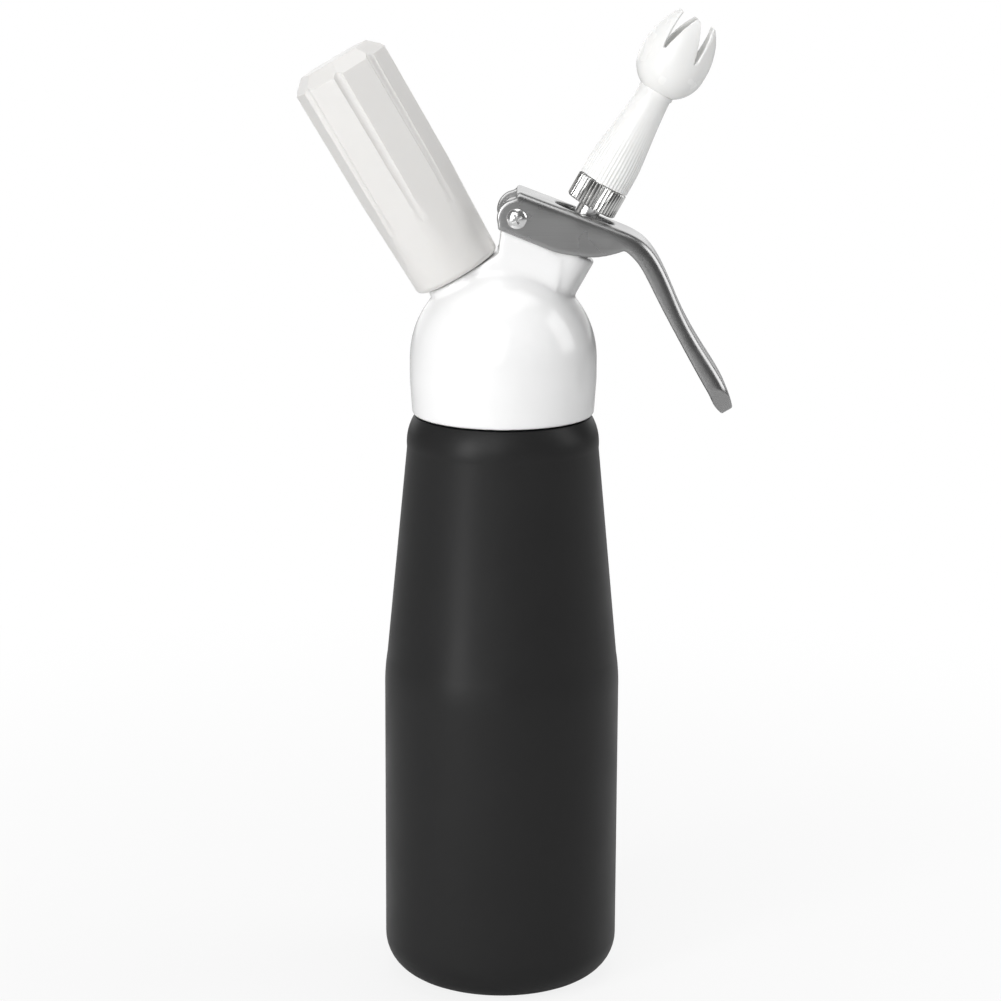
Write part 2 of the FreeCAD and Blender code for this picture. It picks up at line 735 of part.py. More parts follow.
def make_nozzle():
    body = turned("nozzle_blank", [
        ("spigot_radius + nozzle_clearance", "nozzle_start"),
        ("nozzle_foot_radius", "nozzle_start"),
        ("nozzle_waist_radius", "nozzle_start + nozzle_waist_height"),
        ("nozzle_upper_radius", "nozzle_start + nozzle_upper_height"),
        ("nozzle_neck_radius", "bead_level"),
        ("nozzle_bead_radius", "bead_level"),
        ("nozzle_bead_radius", "bead_end"),
        ("bulb_root_radius", "bead_end", "bulb_lower_bend", -1),
        ("bulb_radius", "nozzle_start + bulb_height", "bulb_upper_bend", -1),
        ("mouth_radius", "nozzle_end"),
        ("mouth_radius - nozzle_wall", "nozzle_end", "bulb_upper_bend - nozzle_wall", 1),
        ("bulb_radius - nozzle_wall", "nozzle_start + bulb_height", "bulb_lower_bend - nozzle_wall", 1),
        ("nozzle_neck_radius - nozzle_wall", "bead_level + bulb_root_rise"),
        ("nozzle_neck_radius - nozzle_wall", "bead_level"),
        ("spigot_bore_radius + nozzle_wall", "nozzle_start + nozzle_bore_shoulder"),
        ("spigot_radius + nozzle_clearance", "spigot_top + spigot_end_gap"),
        ("spigot_radius + nozzle_clearance", "ring_level + ring_slot"),
        ("spigot_radius + nozzle_clearance + ring_slot", "ring_level + ring_slot"),
        ("spigot_radius + nozzle_clearance + ring_slot", "ring_level - ring_slot"),
        ("spigot_radius + nozzle_clearance", "ring_level - ring_slot"),
    ])
    tools = []
    prongs = int(value("prong_count"))
    for index in range(prongs):
        slot = padded("nozzle_slot_%d" % index, [
            ("slot_end / 2", "nozzle_end - slot_depth", "slot_end * 0.55", 1),
            ("slot_end / -2", "nozzle_end - slot_depth"),
            ("slot_mouth / -2", "nozzle_end + slot_end"),
            ("slot_mouth / 2", "nozzle_end + slot_end"),
        ], "bulb_radius * 1.5", symmetric=False)
        slot.Placement = FreeCAD.Placement(Vector(), FreeCAD.Rotation(Vector(0, 0, 1), 360.0 * index / prongs))
        tools.append(slot)
    keep(cut("decorating_nozzle", body, tools), on_spout(30.0))
    seal = doc.addObject("Part::Torus", "nozzle_ring")
    seal.Label = "nozzle_ring"
    bind(seal, Radius1="spigot_radius + seat_gap + ring_slot / 2", Radius2="ring_slot / 2")
    seal.Placement.Base = Vector(0, 0, value("ring_level"))
    keep(seal, on_spout())


# Lever: pressed sheet channel with a rounded back, a slot for the stem and a scooped end.
# Both outlines are offsets (x, z) from the hinge, in the plane of symmetry.
LEVER_BACK = [(0.6, 8.65), (32.7, -3.34), (42.4, -8.3), (48.6, -16.8), (55.2, -31.4), (62.6, -44.4),
              (70.4, -57.5), (72.9, -65.9)]
LEVER_FOOT = [(-6.1, -3.8), (10.3, -10.3), (18.0, -12.2), (26.0, -12.8), (31.0, -12.0), (35.4, -10.6),
              (39.4, -14.2), (44.0, -22.0), (48.9, -31.5), (54.8, -42.3), (62.8, -56.5), (69.1, -66.8)]


def hinge_point(offset):
    return Vector(value("pivot_x") + offset[0], 0, value("pivot_rise") + offset[1])


def smooth_line(points, start_direction):
    """A curve through the points that leaves the first one along the given direction."""
    flags = [True] + [False] * (len(points) - 1)
    curve = Part.BSplineCurve()
    curve.interpolate(Points=points, Tangents=[start_direction] * len(points), TangentFlags=flags)
    return curve


def lever_bow(inset):
    """The bowed part of the back, set in from the outer face by a thickness."""
    outer = [hinge_point(offset) for offset in LEVER_BACK]
    along = (outer[1] - outer[0]).normalize()
    curve = smooth_line(outer[1:], along)
    if not inset:
        return curve
    moved_points = []
    for point in outer[1:]:
        tangent = curve.tangent(curve.parameter(point))[0]
        moved_points.append(point + Vector(tangent.z, 0, -tangent.x) * inset)
    return smooth_line(moved_points, along)


def slab(edges, width):
    """A flat outline in the plane of symmetry, thickened evenly to both sides."""
    face = Part.Face(Part.Wire(Part.__sortEdges__([edge.toShape() for edge in edges])))
    face.translate(Vector(0, -width / 2.0, 0))
    return face.extrude(Vector(0, width, 0))


def long_back_edges(solid, back_start, width):
    """The two long edges of the back on each side: the straight web and the bowed handle."""
    chosen = []
    for edge in solid.Edges:
        middle = edge.valueAt((edge.FirstParameter + edge.LastParameter) / 2.0)
        on_side = abs(abs(middle.y) - width / 2.0) < 1e-3
        distance = min(edge.distToShape(Part.Vertex(v.x, middle.y, v.z))[0] for v in back_start)
        if on_side and edge.Length > 20.0 and distance < 1e-3:
            chosen.append(edge)
    return chosen


def make_lever():
    width = value("lever_width")
    sheet_gauge = value("lever_sheet")
    bend = value("lever_bend")
    radius = value("lever_end_radius")
    back = [hinge_point(offset) for offset in LEVER_BACK]
    foot = [hinge_point(offset) for offset in LEVER_FOOT]
    belly = smooth_line(foot[1:6], (foot[1] - foot[0]).normalize())
    grip = Part.BSplineCurve()
    grip.interpolate(Points=foot[5:])
    end_left = hinge_point((-radius, 0))
    end_top = hinge_point((-0.6, math.sqrt(radius * radius - 0.36)))
    end_middle = hinge_point((-radius * math.cos(0.8), radius * math.sin(0.8)))
    outside = slab([
        Part.LineSegment(back[0], back[1]),
        lever_bow(0),
        Part.LineSegment(back[-1], foot[-1]),
        grip,
        belly,
        Part.LineSegment(foot[1], foot[0]),
        Part.LineSegment(foot[0], end_left),
        Part.Arc(end_left, end_middle, end_top),
        Part.LineSegment(end_top, back[0]),
    ], width)
    inner_bow = lever_bow(sheet_gauge)
    normal = Vector(-(back[1] - back[0]).z, 0, (back[1] - back[0]).x).normalize()
    along = (back[1] - back[0]).normalize()
    inner_start = back[0] - normal * sheet_gauge - along * width
    inner_end = inner_bow.EndPoint
    below_end = inner_end - Vector(0, 0, width * 2.0)
    below_start = Vector(inner_start.x - width, 0, below_end.z)
    inside = slab([
        Part.LineSegment(inner_start, inner_bow.StartPoint),
        inner_bow,
        Part.LineSegment(inner_end, below_end),
        Part.LineSegment(below_end, below_start),
        Part.LineSegment(below_start, inner_start),
    ], width - sheet_gauge * 2).cut(beyond_tip(sheet_gauge))
    outside = outside.makeFillet(bend, long_back_edges(outside, (back[1],), width)).cut(beyond_tip(0))
    return outside.cut([inside, stem_slot(), screw_hole()])


def stem_slot():
    """Slot with round ends, square to the web, around the valve stem."""
    half_length = value("lever_slot_length") / 2.0
    half_width = value("lever_slot_width") / 2.0
    straight = half_length - half_width
    box = Part.makeBox(straight * 2, half_width * 2, 12, Vector(-straight, -half_width, -6))
    for side in (-1, 1):
        box = box.fuse(Part.makeCylinder(half_width, 12, Vector(side * straight, 0, -6)))
    first = hinge_point(LEVER_BACK[0])
    second = hinge_point(LEVER_BACK[1])
    slope = math.degrees(math.atan2(first.z - second.z, second.x - first.x))
    x = value("lever_slot_x")
    z = first.z - (x - first.x) * math.tan(math.radians(slope))
    box.Placement = FreeCAD.Placement(Vector(x, 0, z), FreeCAD.Rotation(Vector(0, 1, 0), slope))
    return box


def screw_hole():
    width = value("lever_width")
    start = hinge_point((0, 0)) + Vector(0, -width, 0)
    return Part.makeCylinder(value("screw_shank_radius + pin_tube_clearance"), width * 2, start, Vector(0, 1, 0))


def beyond_tip(inset):
    """All that lies outside the handle's round end, or outside that end set in by a thickness."""
    half = value("lever_width") / 2.0
    corner = value("lever_tip_corner")
    size = half * 4.0
    low = -size / 2.0
    kept = Part.makeBox(size, (half - corner) * 2.0, size, Vector(-size - inset, corner - half, low))
    kept = kept.fuse(Part.makeBox(size, (half - inset) * 2.0, size, Vector(-size - corner, inset - half, low)))
    for side in (-1, 1):
        kept = kept.fuse(Part.makeCylinder(corner - inset, size, Vector(-corner, side * (half - corner), low)))
    tool = Part.makeBox(size, size * 2.0, size, Vector(-corner, -size, low)).cut(kept)
    end = hinge_point(LEVER_FOOT[-1])
    before = hinge_point(LEVER_FOOT[-2])
    slope = math.degrees(math.atan2(before.z - end.z, end.x - before.x))
    tool.Placement = FreeCAD.Placement(end, FreeCAD.Rotation(Vector(0, 1, 0), slope))
    return tool


# Hinge: a tube through the block and a domed cross-recess screw from each side
def make_hinge():
    tube = turned("pivot_tube", [
        ("screw_shank_radius", "block_width / -2"),
        ("pin_tube_radius", "block_width / -2"),
        ("pin_tube_radius", "block_width / 2"),
        ("screw_shank_radius", "block_width / 2"),
    ])
    sideways = FreeCAD.Rotation(Vector(1, 0, 0), 90)
    hinge = Vector(value("pivot_x"), 0, RIM + value("pivot_rise"))
    keep(tube, FreeCAD.Placement(hinge, sideways))
    for name, turn in (("hinge_screw_front", 0), ("hinge_screw_rear", 180)):
        blank = turned(name + "_blank", [
            ("0", "screw_seat - screw_shank_length"),
            ("screw_shank_radius", "screw_seat - screw_shank_length"),
            ("screw_shank_radius", "screw_seat"),
            ("screw_head_radius", "screw_seat"),
            ("screw_head_radius", "screw_seat + screw_head_edge", "screw_head_dome", -1),
            ("0", "screw_seat + screw_head_height"),
        ])
        top = value("screw_seat + screw_head_height - screw_cross_depth")
        tools = []
        for angle in (25, 115):
            bar = doc.addObject("Part::Box", name + "_cross_%d" % angle)
            bind(bar, Length="screw_cross_length", Width="screw_cross_width", Height="screw_head_height")
            spin = FreeCAD.Placement(Vector(), FreeCAD.Rotation(Vector(0, 0, 1), angle))
            corner = Vector(-value("screw_cross_length") / 2, -value("screw_cross_width") / 2, top)
            bar.Placement = spin.multiply(FreeCAD.Placement(corner, FreeCAD.Rotation()))
            tools.append(bar)
        facing = FreeCAD.Rotation(Vector(0, 0, 1), turn).multiply(sideways)
        keep(cut(name, blank, tools), FreeCAD.Placement(hinge, facing))


make_bottle()
make_head()
make_gas_inlet()
make_charger()
make_holder()
make_valve()
make_adaptor()
make_nozzle()
make_hinge()
lever = doc.addObject("Part::Feature", "lever")
lever.Label = "lever"
lever.Shape = make_lever()
keep(lever, on_rim())


def report_faults():
    faults = []
    for thing in doc.Objects:
        if "Invalid" in thing.State or "Error" in thing.State:
            faults.append(thing.Name + " " + str(thing.State))
    for piece in parts:
        if piece.Shape.isNull() or not piece.Shape.isValid():
            faults.append(piece.Label + " has no valid shape")
    return faults


doc.recompute()
faults = report_faults()
if faults:
    raise RuntimeError("; ".join(faults))
os.makedirs("parts", exist_ok=True)
for piece in parts:
    piece.Shape.exportStep("parts/%s.step" % piece.Label)
    print(piece.Label, len(piece.Shape.Solids), round(piece.Shape.Volume, 1))
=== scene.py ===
import json
import math

import bmesh
import bpy
from bpy.props import FloatProperty, FloatVectorProperty, IntProperty, PointerProperty
from mathutils import Matrix, Vector


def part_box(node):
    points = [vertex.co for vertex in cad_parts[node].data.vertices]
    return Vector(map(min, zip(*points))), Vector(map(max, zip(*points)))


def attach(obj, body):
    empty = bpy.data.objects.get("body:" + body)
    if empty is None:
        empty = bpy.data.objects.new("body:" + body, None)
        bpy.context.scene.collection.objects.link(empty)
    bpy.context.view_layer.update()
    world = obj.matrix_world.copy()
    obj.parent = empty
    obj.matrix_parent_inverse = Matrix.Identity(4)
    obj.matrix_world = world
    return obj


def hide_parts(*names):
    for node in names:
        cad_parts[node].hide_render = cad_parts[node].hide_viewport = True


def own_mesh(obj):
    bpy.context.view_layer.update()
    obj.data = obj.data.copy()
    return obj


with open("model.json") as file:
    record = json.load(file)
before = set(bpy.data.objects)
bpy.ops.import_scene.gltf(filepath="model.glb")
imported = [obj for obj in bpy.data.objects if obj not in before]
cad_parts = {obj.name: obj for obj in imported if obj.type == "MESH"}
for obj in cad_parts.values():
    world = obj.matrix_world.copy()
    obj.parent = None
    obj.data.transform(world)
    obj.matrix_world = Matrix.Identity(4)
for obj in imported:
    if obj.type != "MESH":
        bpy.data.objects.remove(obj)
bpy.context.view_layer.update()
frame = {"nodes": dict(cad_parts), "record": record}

bl_info = {
    "name": "Cream Dispenser",
    "version": (1, 0, 0),
    "blender": (4, 5, 0),
    "location": "3D View > Sidebar > Dispenser",
    "description": "Dresses the packed cream dispenser: bottle, head, holder, lever, valve and nozzle",
    "category": "Object",
}

MM = 0.001

# Bottle, in millimetres
BASE_BEND = 13.0
CYLINDER_TOP = 102.0
SHOULDER_BEND = 66.0
TAPER_FOOT = (39.1, 114.0)
TAPER_TOP = (32.3, 185.5)
CROWN_BEND = 17.0
CROWN_RADIUS = 29.7
CROWN_TOP = 196.4
CROWN_SHEET = 2.6
CROWN_BORE = 27.6
NECK_RADIUS = 24.2
NECK_BORE = 21.8
LIP_BEND = 0.5
SKIN_MARGIN = 0.01

# Knurled adaptor, in millimetres along and round the nozzle's axis
ADAPTOR_FOOT = 58.7
ADAPTOR_TOP = 67.3
ADAPTOR_RADIUS = 8.75
ADAPTOR_FACE = 8.2
ADAPTOR_CHAMFER = 0.55
ADAPTOR_PITCHED = 8.5
KNURL_DENT = 0.46
SPIGOT_RADIUS = 6.0
SPIGOT_LENGTH = 6.0
SPIGOT_BORE = 3.0
STEM_BORE = 4.0
STEM_BORE_TOP = 64.6

# Nozzle, in millimetres from its foot
NOZZLE_RADIUS = 8.62
NOZZLE_BORE = 6.08
PASSAGE = 4.2
NECK_HEIGHT = 33.7
COLLAR_RADIUS = 6.1
TULIP_START = 34.6
RIBBED_LENGTH = 19.0
RIB_LIMIT = 6.3
BULB_RADIUS = 11.7
BULB_HEIGHT = 44.6
NOZZLE_LENGTH = 61.4
SLOT_FOOT = 48.4
SLOT_TOP = 62.4
SLOT_HALF_FOOT = 0.4
SLOT_HALF_TOP = 2.95
SLOT_REACH = 16.0
SLOT_START = 1.0
PRONGS = 6

# Lever, in millimetres
SCOOP_CENTRE = (72.6, 9.5, 200.5)
SCOOP_REACH = 8.0
SCOOP_DEPTH = 1.6
SCOOP_WAY = (-0.55, -0.6, 0.35)
WEB_LEAN = -20.0
HANDLE_LEAN = -62.0
BOW_START = 0.044
BOW_END = 0.052

# Studio: name, place, width, height and power of each lamp
LAMPS = (
    ("key", (-0.6, -1.4, 0.95), 1.4, 1.4, 16.5),
    ("strip", (-1.05, -1.1, 0.42), 0.3, 0.8, 9.0),
    ("fill", (1.3, 0.15, 0.8), 1.0, 1.0, 8.5),
    ("top", (0.1, 0.1, 1.6), 1.2, 1.2, 9.0),
)
LAMP_TARGET = (0, 0, 0.18)
CAMERA_DISTANCE = 1.0
CAMERA_RISE = 0.202
CAMERA_PITCH = 13.08
CAMERA_ROLL = 0.28


def length(name, description, default):
    """A size that a user may change, in metres."""
    return FloatProperty(name=name, description=description, default=default,
                         subtype="DISTANCE", unit="LENGTH")


def tint(name, description, default):
    return FloatVectorProperty(name=name, description=description, default=default, subtype="COLOR", size=3,
                               min=0.0, max=1.0)


class DispenserShape(bpy.types.PropertyGroup):
    """Sizes of the modelled pieces"""
    rim_height: length("Rim height", "Height of the head's lower edge above the base", 197.0 * MM)
    spout_rise: length("Spout rise", "Where the nozzle's axis leaves the bottle's axis, above the rim",
                       18.7 * MM)
    spout_tilt: FloatProperty(name="Spout tilt", description="Lean of the nozzle's axis", subtype="ANGLE",
                              default=math.radians(29.2))
    bottle_wall: length("Bottle wall", "Thickness of the bottle's wall", 1.3 * MM)
    head_grain: length("Head grain", "Size of the faces of the head's skin", 0.62 * MM)
    tulip_grain: length("Tulip grain", "Size of the faces of the tulip", 0.32 * MM)
    lever_grain: length("Lever grain", "Size of the faces of the lever", 0.38 * MM)
    nozzle_start: length("Nozzle start", "Distance of the nozzle's foot along its axis", 67.6 * MM)
    rib_count: IntProperty(name="Ribs", description="Ribs round the nozzle's foot and the adaptor",
                           default=44)
    rib_height: length("Rib height", "How far the ribs of the nozzle's foot stand out", 0.22 * MM)


class DispenserTint(bpy.types.PropertyGroup):
    """Colours of the finishes"""
    lacquer: tint("Lacquer", "Black coat of the bottle", (0.017, 0.017, 0.0172))
    head: tint("Head", "White of the head", (0.86, 0.86, 0.86))
    holder: tint("Holder", "Warm white of the charger holder", (0.70, 0.69, 0.675))
    nozzle: tint("Nozzle", "White of the nozzle", (0.82, 0.82, 0.81))
    lever: tint("Lever", "Brushed steel of the lever", (0.34, 0.34, 0.34))
    adaptor: tint("Adaptor", "Bright metal of the adaptor", (0.72, 0.72, 0.71))


def shape():
    return bpy.context.scene.dispenser_shape


def tints():
    return bpy.context.scene.dispenser_tint


# Materials
def new_material(name, colour, roughness, metallic=0.0):
    material = bpy.data.materials.new(name)
    material.use_nodes = True
    shader = material.node_tree.nodes["Principled BSDF"]
    shader.inputs["Base Color"].default_value = (*colour, 1.0)
    shader.inputs["Roughness"].default_value = roughness
    shader.inputs["Metallic"].default_value = metallic
    return material, shader


def noise(material, scale, detail=3.0, stretch=(1, 1, 1), turn=(0, 0, 0)):
    """Noise on the piece's own coordinates, stretched and turned by a mapping."""
    nodes, links = material.node_tree.nodes, material.node_tree.links
    place = nodes.new("ShaderNodeTexCoord")
    mapping = nodes.new("ShaderNodeMapping")
    mapping.inputs["Scale"].default_value = stretch
    mapping.inputs["Rotation"].default_value = turn
    pattern = nodes.new("ShaderNodeTexNoise")
    pattern.inputs["Scale"].default_value = scale
    pattern.inputs["Detail"].default_value = detail
    links.new(place.outputs["Object"], mapping.inputs["Vector"])
    links.new(mapping.outputs["Vector"], pattern.inputs["Vector"])
    return pattern.outputs["Fac"]


def spread(material, source, low, high, target):
    """Sends a 0 to 1 pattern to a socket as a range of values."""
    remap = material.node_tree.nodes.new("ShaderNodeMapRange")
    remap.inputs["From Min"].default_value = 0.3
    remap.inputs["From Max"].default_value = 0.7
    remap.inputs["To Min"].default_value = low
    remap.inputs["To Max"].default_value = high
    material.node_tree.links.new(source, remap.inputs["Value"])
    material.node_tree.links.new(remap.outputs["Result"], target)


def blend_colours(material, source, dark, light, shader):
    ramp = material.node_tree.nodes.new("ShaderNodeMix")
    ramp.data_type = "RGBA"
    ramp.inputs["A"].default_value = (*dark, 1.0)
    ramp.inputs["B"].default_value = (*light, 1.0)
    material.node_tree.links.new(source, ramp.inputs["Factor"])
    material.node_tree.links.new(ramp.outputs["Result"], shader.inputs["Base Color"])


def relief(material, source, strength, depth, shader):
    bump = material.node_tree.nodes.new("ShaderNodeBump")
    bump.inputs["Strength"].default_value = strength
    bump.inputs["Distance"].default_value = depth
    material.node_tree.links.new(source, bump.inputs["Height"])
    material.node_tree.links.new(bump.outputs["Normal"], shader.inputs["Normal"])


def shade(colour, factor):
    return tuple(min(1.0, channel * factor) for channel in colour)


def matt_lacquer():
    colour = tuple(tints().lacquer)
    material, shader = new_material("matt_black_lacquer", colour, 0.42)
    shader.inputs["Specular IOR Level"].default_value = 0.15
    cloud = noise(material, 55.0, 2.0)
    spread(material, cloud, 0.36, 0.42, shader.inputs["Roughness"])
    blend_colours(material, cloud, shade(colour, 0.94), shade(colour, 1.06), shader)
    relief(material, noise(material, 3200.0, 2.0), 0.12, 0.00004, shader)
    return material


def glossy_white():
    colour = tuple(tints().head)
    material, shader = new_material("glossy_white_moulding", colour, 0.2)
    shader.inputs["Coat Weight"].default_value = 0.25
    shader.inputs["Coat Roughness"].default_value = 0.12
    cloud = noise(material, 40.0, 3.0)
    spread(material, cloud, 0.17, 0.25, shader.inputs["Roughness"])
    blend_colours(material, cloud, shade(colour, 0.985), shade(colour, 1.01), shader)
    relief(material, noise(material, 160.0, 1.0), 0.05, 0.00005, shader)
    return material


def satin_plastic(name, colour, low, high):
    material, shader = new_material(name, colour, low)
    shader.inputs["Subsurface Weight"].default_value = 0.12
    shader.inputs["Subsurface Radius"].default_value = (1.0, 0.9, 0.8)
    shader.inputs["Subsurface Scale"].default_value = 0.0025
    cloud = noise(material, 60.0, 3.0)
    spread(material, cloud, low, high, shader.inputs["Roughness"])
    blend_colours(material, cloud, shade(colour, 0.98), shade(colour, 1.015), shader)
    relief(material, noise(material, 700.0, 2.0), 0.06, 0.00004, shader)
    return material


def brushed_steel():
    """Fine streaks along the web and, past the bow, along the handle."""
    colour = tuple(tints().lever)
    material, shader = new_material("brushed_stainless", colour, 0.34, 1.0)
    nodes, links = material.node_tree.nodes, material.node_tree.links
    web = noise(material, 100.0, 4.0, stretch=(0.4, 36.0, 36.0), turn=(0.0, math.radians(WEB_LEAN), 0.0))
    handle = noise(material, 100.0, 4.0, stretch=(0.4, 36.0, 36.0),
                   turn=(0.0, math.radians(HANDLE_LEAN), 0.0))
    place = nodes.new("ShaderNodeTexCoord")
    split = nodes.new("ShaderNodeSeparateXYZ")
    choose = nodes.new("ShaderNodeMapRange")
    choose.inputs["From Min"].default_value = BOW_START
    choose.inputs["From Max"].default_value = BOW_END
    mixed = nodes.new("ShaderNodeMix")
    links.new(place.outputs["Object"], split.inputs["Vector"])
    links.new(split.outputs["X"], choose.inputs["Value"])
    links.new(choose.outputs["Result"], mixed.inputs["Factor"])
    links.new(web, mixed.inputs["A"])
    links.new(handle, mixed.inputs["B"])
    streaks = mixed.outputs["Result"]
    spread(material, noise(material, 70.0, 3.0), 0.24, 0.32, shader.inputs["Roughness"])
    blend_colours(material, streaks, shade(colour, 0.88), shade(colour, 1.1), shader)
    relief(material, streaks, 0.05, 0.00002, shader)
    return material


def turned_metal(name, colour, low, high, scale=240.0):
    material, shader = new_material(name, colour, low, 1.0)
    marks = noise(material, scale, 4.0)
    spread(material, marks, low, high, shader.inputs["Roughness"])
    blend_colours(material, marks, shade(colour, 0.93), shade(colour, 1.05), shader)
    relief(material, marks, 0.05, 0.00003, shader)
    return material


def knurled_metal():
    """Bright metal ribs whose crests are painted lighter and whose grooves are painted dark as shade; the
    mesh carries the groove's depth.
    """
    colour = tuple(tints().adaptor)
    material, shader = new_material("knurl_painted_light_and_shade", colour, 0.2, 1.0)
    marks = noise(material, 240.0, 4.0)
    spread(material, marks, 0.16, 0.26, shader.inputs["Roughness"])
    groove = material.node_tree.nodes.new("ShaderNodeAttribute")
    groove.attribute_name = "groove"
    # painted light and shade: the crests are painted lighter than the metal and the grooves painted much
    # darker with their depth
    blend_colours(material, groove.outputs["Fac"], shade(colour, 1.15), shade(colour, 0.22), shader)
    relief(material, marks, 0.05, 0.00003, shader)
    return material


def soft_rubber():
    colour = (0.66, 0.66, 0.63)
    material, shader = new_material("silicone_seal", colour, 0.55)
    grain = noise(material, 500.0, 2.0)
    spread(material, grain, 0.5, 0.62, shader.inputs["Roughness"])
    blend_colours(material, grain, shade(colour, 0.96), shade(colour, 1.03), shader)
    return material


# Mesh helpers
def link_mesh(name, work, smooth_angle=math.radians(32.0)):
    """Turns a bmesh into a linked object with smooth faces and sharp edges above an angle."""
    mesh = bpy.data.meshes.new(name)
    work.to_mesh(mesh)
    work.free()
    for face in mesh.polygons:
        face.use_smooth = True
    mesh.set_sharp_from_angle(angle=smooth_angle)
    thing = bpy.data.objects.new(name, mesh)
    bpy.context.collection.objects.link(thing)
    return thing


def arc_steps(start, end, radius, side, steps=12):
    """Points after the start along the short arc to the end; side is +1 left of the way, -1 right of it."""
    chord = end - start
    half = chord.length / 2.0
    rise = math.sqrt(max(radius * radius - half * half, 0.0))
    across = Vector((-chord.y, chord.x)).normalized()
    centre = (start + end) / 2.0 - across * (side * rise)
    first = math.atan2(start.y - centre.y, start.x - centre.x)
    last = math.atan2(end.y - centre.y, end.x - centre.x)
    sweep = (last - first + math.pi) % (2.0 * math.pi) - math.pi
    angles = [first + sweep * step / steps for step in range(1, steps + 1)]
    return [centre + Vector((math.cos(a), math.sin(a))) * radius for a in angles]


def outline_points(outline):
    """Half outline of (radius, height) in millimetres; an entry may add the radius and side of an arc."""
    points = []
    for index, entry in enumerate(outline):
        start = Vector(entry[:2]) * MM
        if not points:
            points.append(start)
        if index + 1 == len(outline):
            break
        end = Vector(outline[index + 1][:2]) * MM
        if len(entry) > 2:
            points += arc_steps(start, end, entry[2] * MM, entry[3])
        else:
            points.append(end)
    return points


def spun(outline, steps=128):
    """A turned form from a half outline, about the Z axis."""
    work = bmesh.new()
    verts = [work.verts.new((point.x, 0.0, point.y)) for point in outline_points(outline)]
    edges = [work.edges.new(pair) for pair in zip(verts, verts[1:])]
    bmesh.ops.spin(work, geom=verts + edges, axis=(0, 0, 1), cent=(0, 0, 0), angle=2.0 * math.pi,
                   steps=steps, use_merge=True)
    bmesh.ops.remove_doubles(work, verts=work.verts, dist=0.002 * MM)
    bmesh.ops.recalc_face_normals(work, faces=work.faces)
    return work


def spout_matrix(turn=0.0):
    sizes = shape()
    lift = Matrix.Translation((0, 0, sizes.rim_height + sizes.spout_rise))
    return lift @ Matrix.Rotation(sizes.spout_tilt, 4, "Y") @ Matrix.Rotation(turn, 4, "Z")


def node_copy(node):
    """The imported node's mesh, merged into a closed skin."""
    work = bmesh.new()
    work.from_mesh(frame["nodes"][node].data)
    bmesh.ops.remove_doubles(work, verts=work.verts, dist=0.001 * MM)
    return work


def apply_modifiers(thing):
    """Bakes the modifiers into the mesh."""
    graph = bpy.context.evaluated_depsgraph_get()
    baked = bpy.data.meshes.new_from_object(thing.evaluated_get(graph))
    old = thing.data
    thing.modifiers.clear()
    thing.data = baked
    bpy.data.meshes.remove(old)


def soften_edges(thing, width, angle=math.radians(35.0)):
    bevel = thing.modifiers.new("edge_round", "BEVEL")
    bevel.width = width
    bevel.segments = 2
    bevel.limit_method = "ANGLE"
    bevel.angle_limit = angle
    weighted = thing.modifiers.new("even_shading", "WEIGHTED_NORMAL")
    weighted.keep_sharp = True


def remeshed(thing, grain, rounds, factor=0.5):
    """Even skin of small faces, with its creases eased."""
    remesh = thing.modifiers.new("skin", "REMESH")
    remesh.mode = "VOXEL"
    remesh.voxel_size = grain
    ease = thing.modifiers.new("ease", "SMOOTH")
    ease.factor = factor
    ease.iterations = rounds
    apply_modifiers(thing)
    for face in thing.data.polygons:
        face.use_smooth = True
    return thing


def finish_piece(thing, material, body, slot_name, *nodes):
    """Gives a piece its material and its body, and hides the nodes that it stands for; slot_name is not
    used.
    """
    thing.data.materials.clear()
    thing.data.materials.append(material)
    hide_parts(*nodes)
    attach(thing, body)
    return thing


def paint(material, *nodes):
    for node in nodes:
        target = frame["nodes"][node]
        target.data.materials.clear()
        target.data.materials.append(material)


def body_of_node(node):
    for name, members in frame["record"]["behaviour"]["bodies"].items():
        if node in members:
            return name
    raise ValueError("no body holds " + node)


def dressed_node(node, name, material, slot_name, edge=0.12 * MM):
    """A node's own form with merged faces and eased edges."""
    thing = link_mesh(name, node_copy(node), math.radians(28.0))
    if edge:
        soften_edges(thing, edge)
    return finish_piece(thing, material, body_of_node(node), slot_name, node)


# Pieces
class DISPENSER_OT_bottle(bpy.types.Operator):
    """Make the bottle: one spun shell with a matt black coat"""
    bl_idname = "dispenser.bottle"
    bl_label = "Bottle"

    def execute(self, context):
        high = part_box("bottle")[1]
        radius = high[1] / MM - SKIN_MARGIN
        top = high[2] / MM
        wall = shape().bottle_wall / MM
        work = spun([
            (0, 0),
            (radius - BASE_BEND, 0, BASE_BEND, -1),
            (radius, BASE_BEND),
            (radius, CYLINDER_TOP, SHOULDER_BEND, -1),
            TAPER_FOOT,
            (*TAPER_TOP, CROWN_BEND, -1),
            (CROWN_RADIUS, CROWN_TOP),
            (NECK_RADIUS, CROWN_TOP),
            (NECK_RADIUS, top - LIP_BEND, LIP_BEND, -1),
            (NECK_RADIUS - LIP_BEND, top),
            (NECK_BORE + LIP_BEND, top, LIP_BEND, -1),
            (NECK_BORE, top - LIP_BEND),
            (NECK_BORE, CROWN_TOP - CROWN_SHEET),
            (CROWN_BORE, CROWN_TOP - CROWN_SHEET),
            (TAPER_TOP[0] - wall, TAPER_TOP[1]),
            (TAPER_FOOT[0] - wall, TAPER_FOOT[1]),
            (radius - wall, CYLINDER_TOP),
            (radius - wall, BASE_BEND, BASE_BEND - wall, 1),
            (radius - BASE_BEND, wall),
            (0, wall),
        ], steps=160)
        thing = link_mesh("bottle_shell", work, math.radians(40.0))
        finish_piece(thing, matt_lacquer(), "bottle", "bottle_lacquer", "bottle")
        return {"FINISHED"}


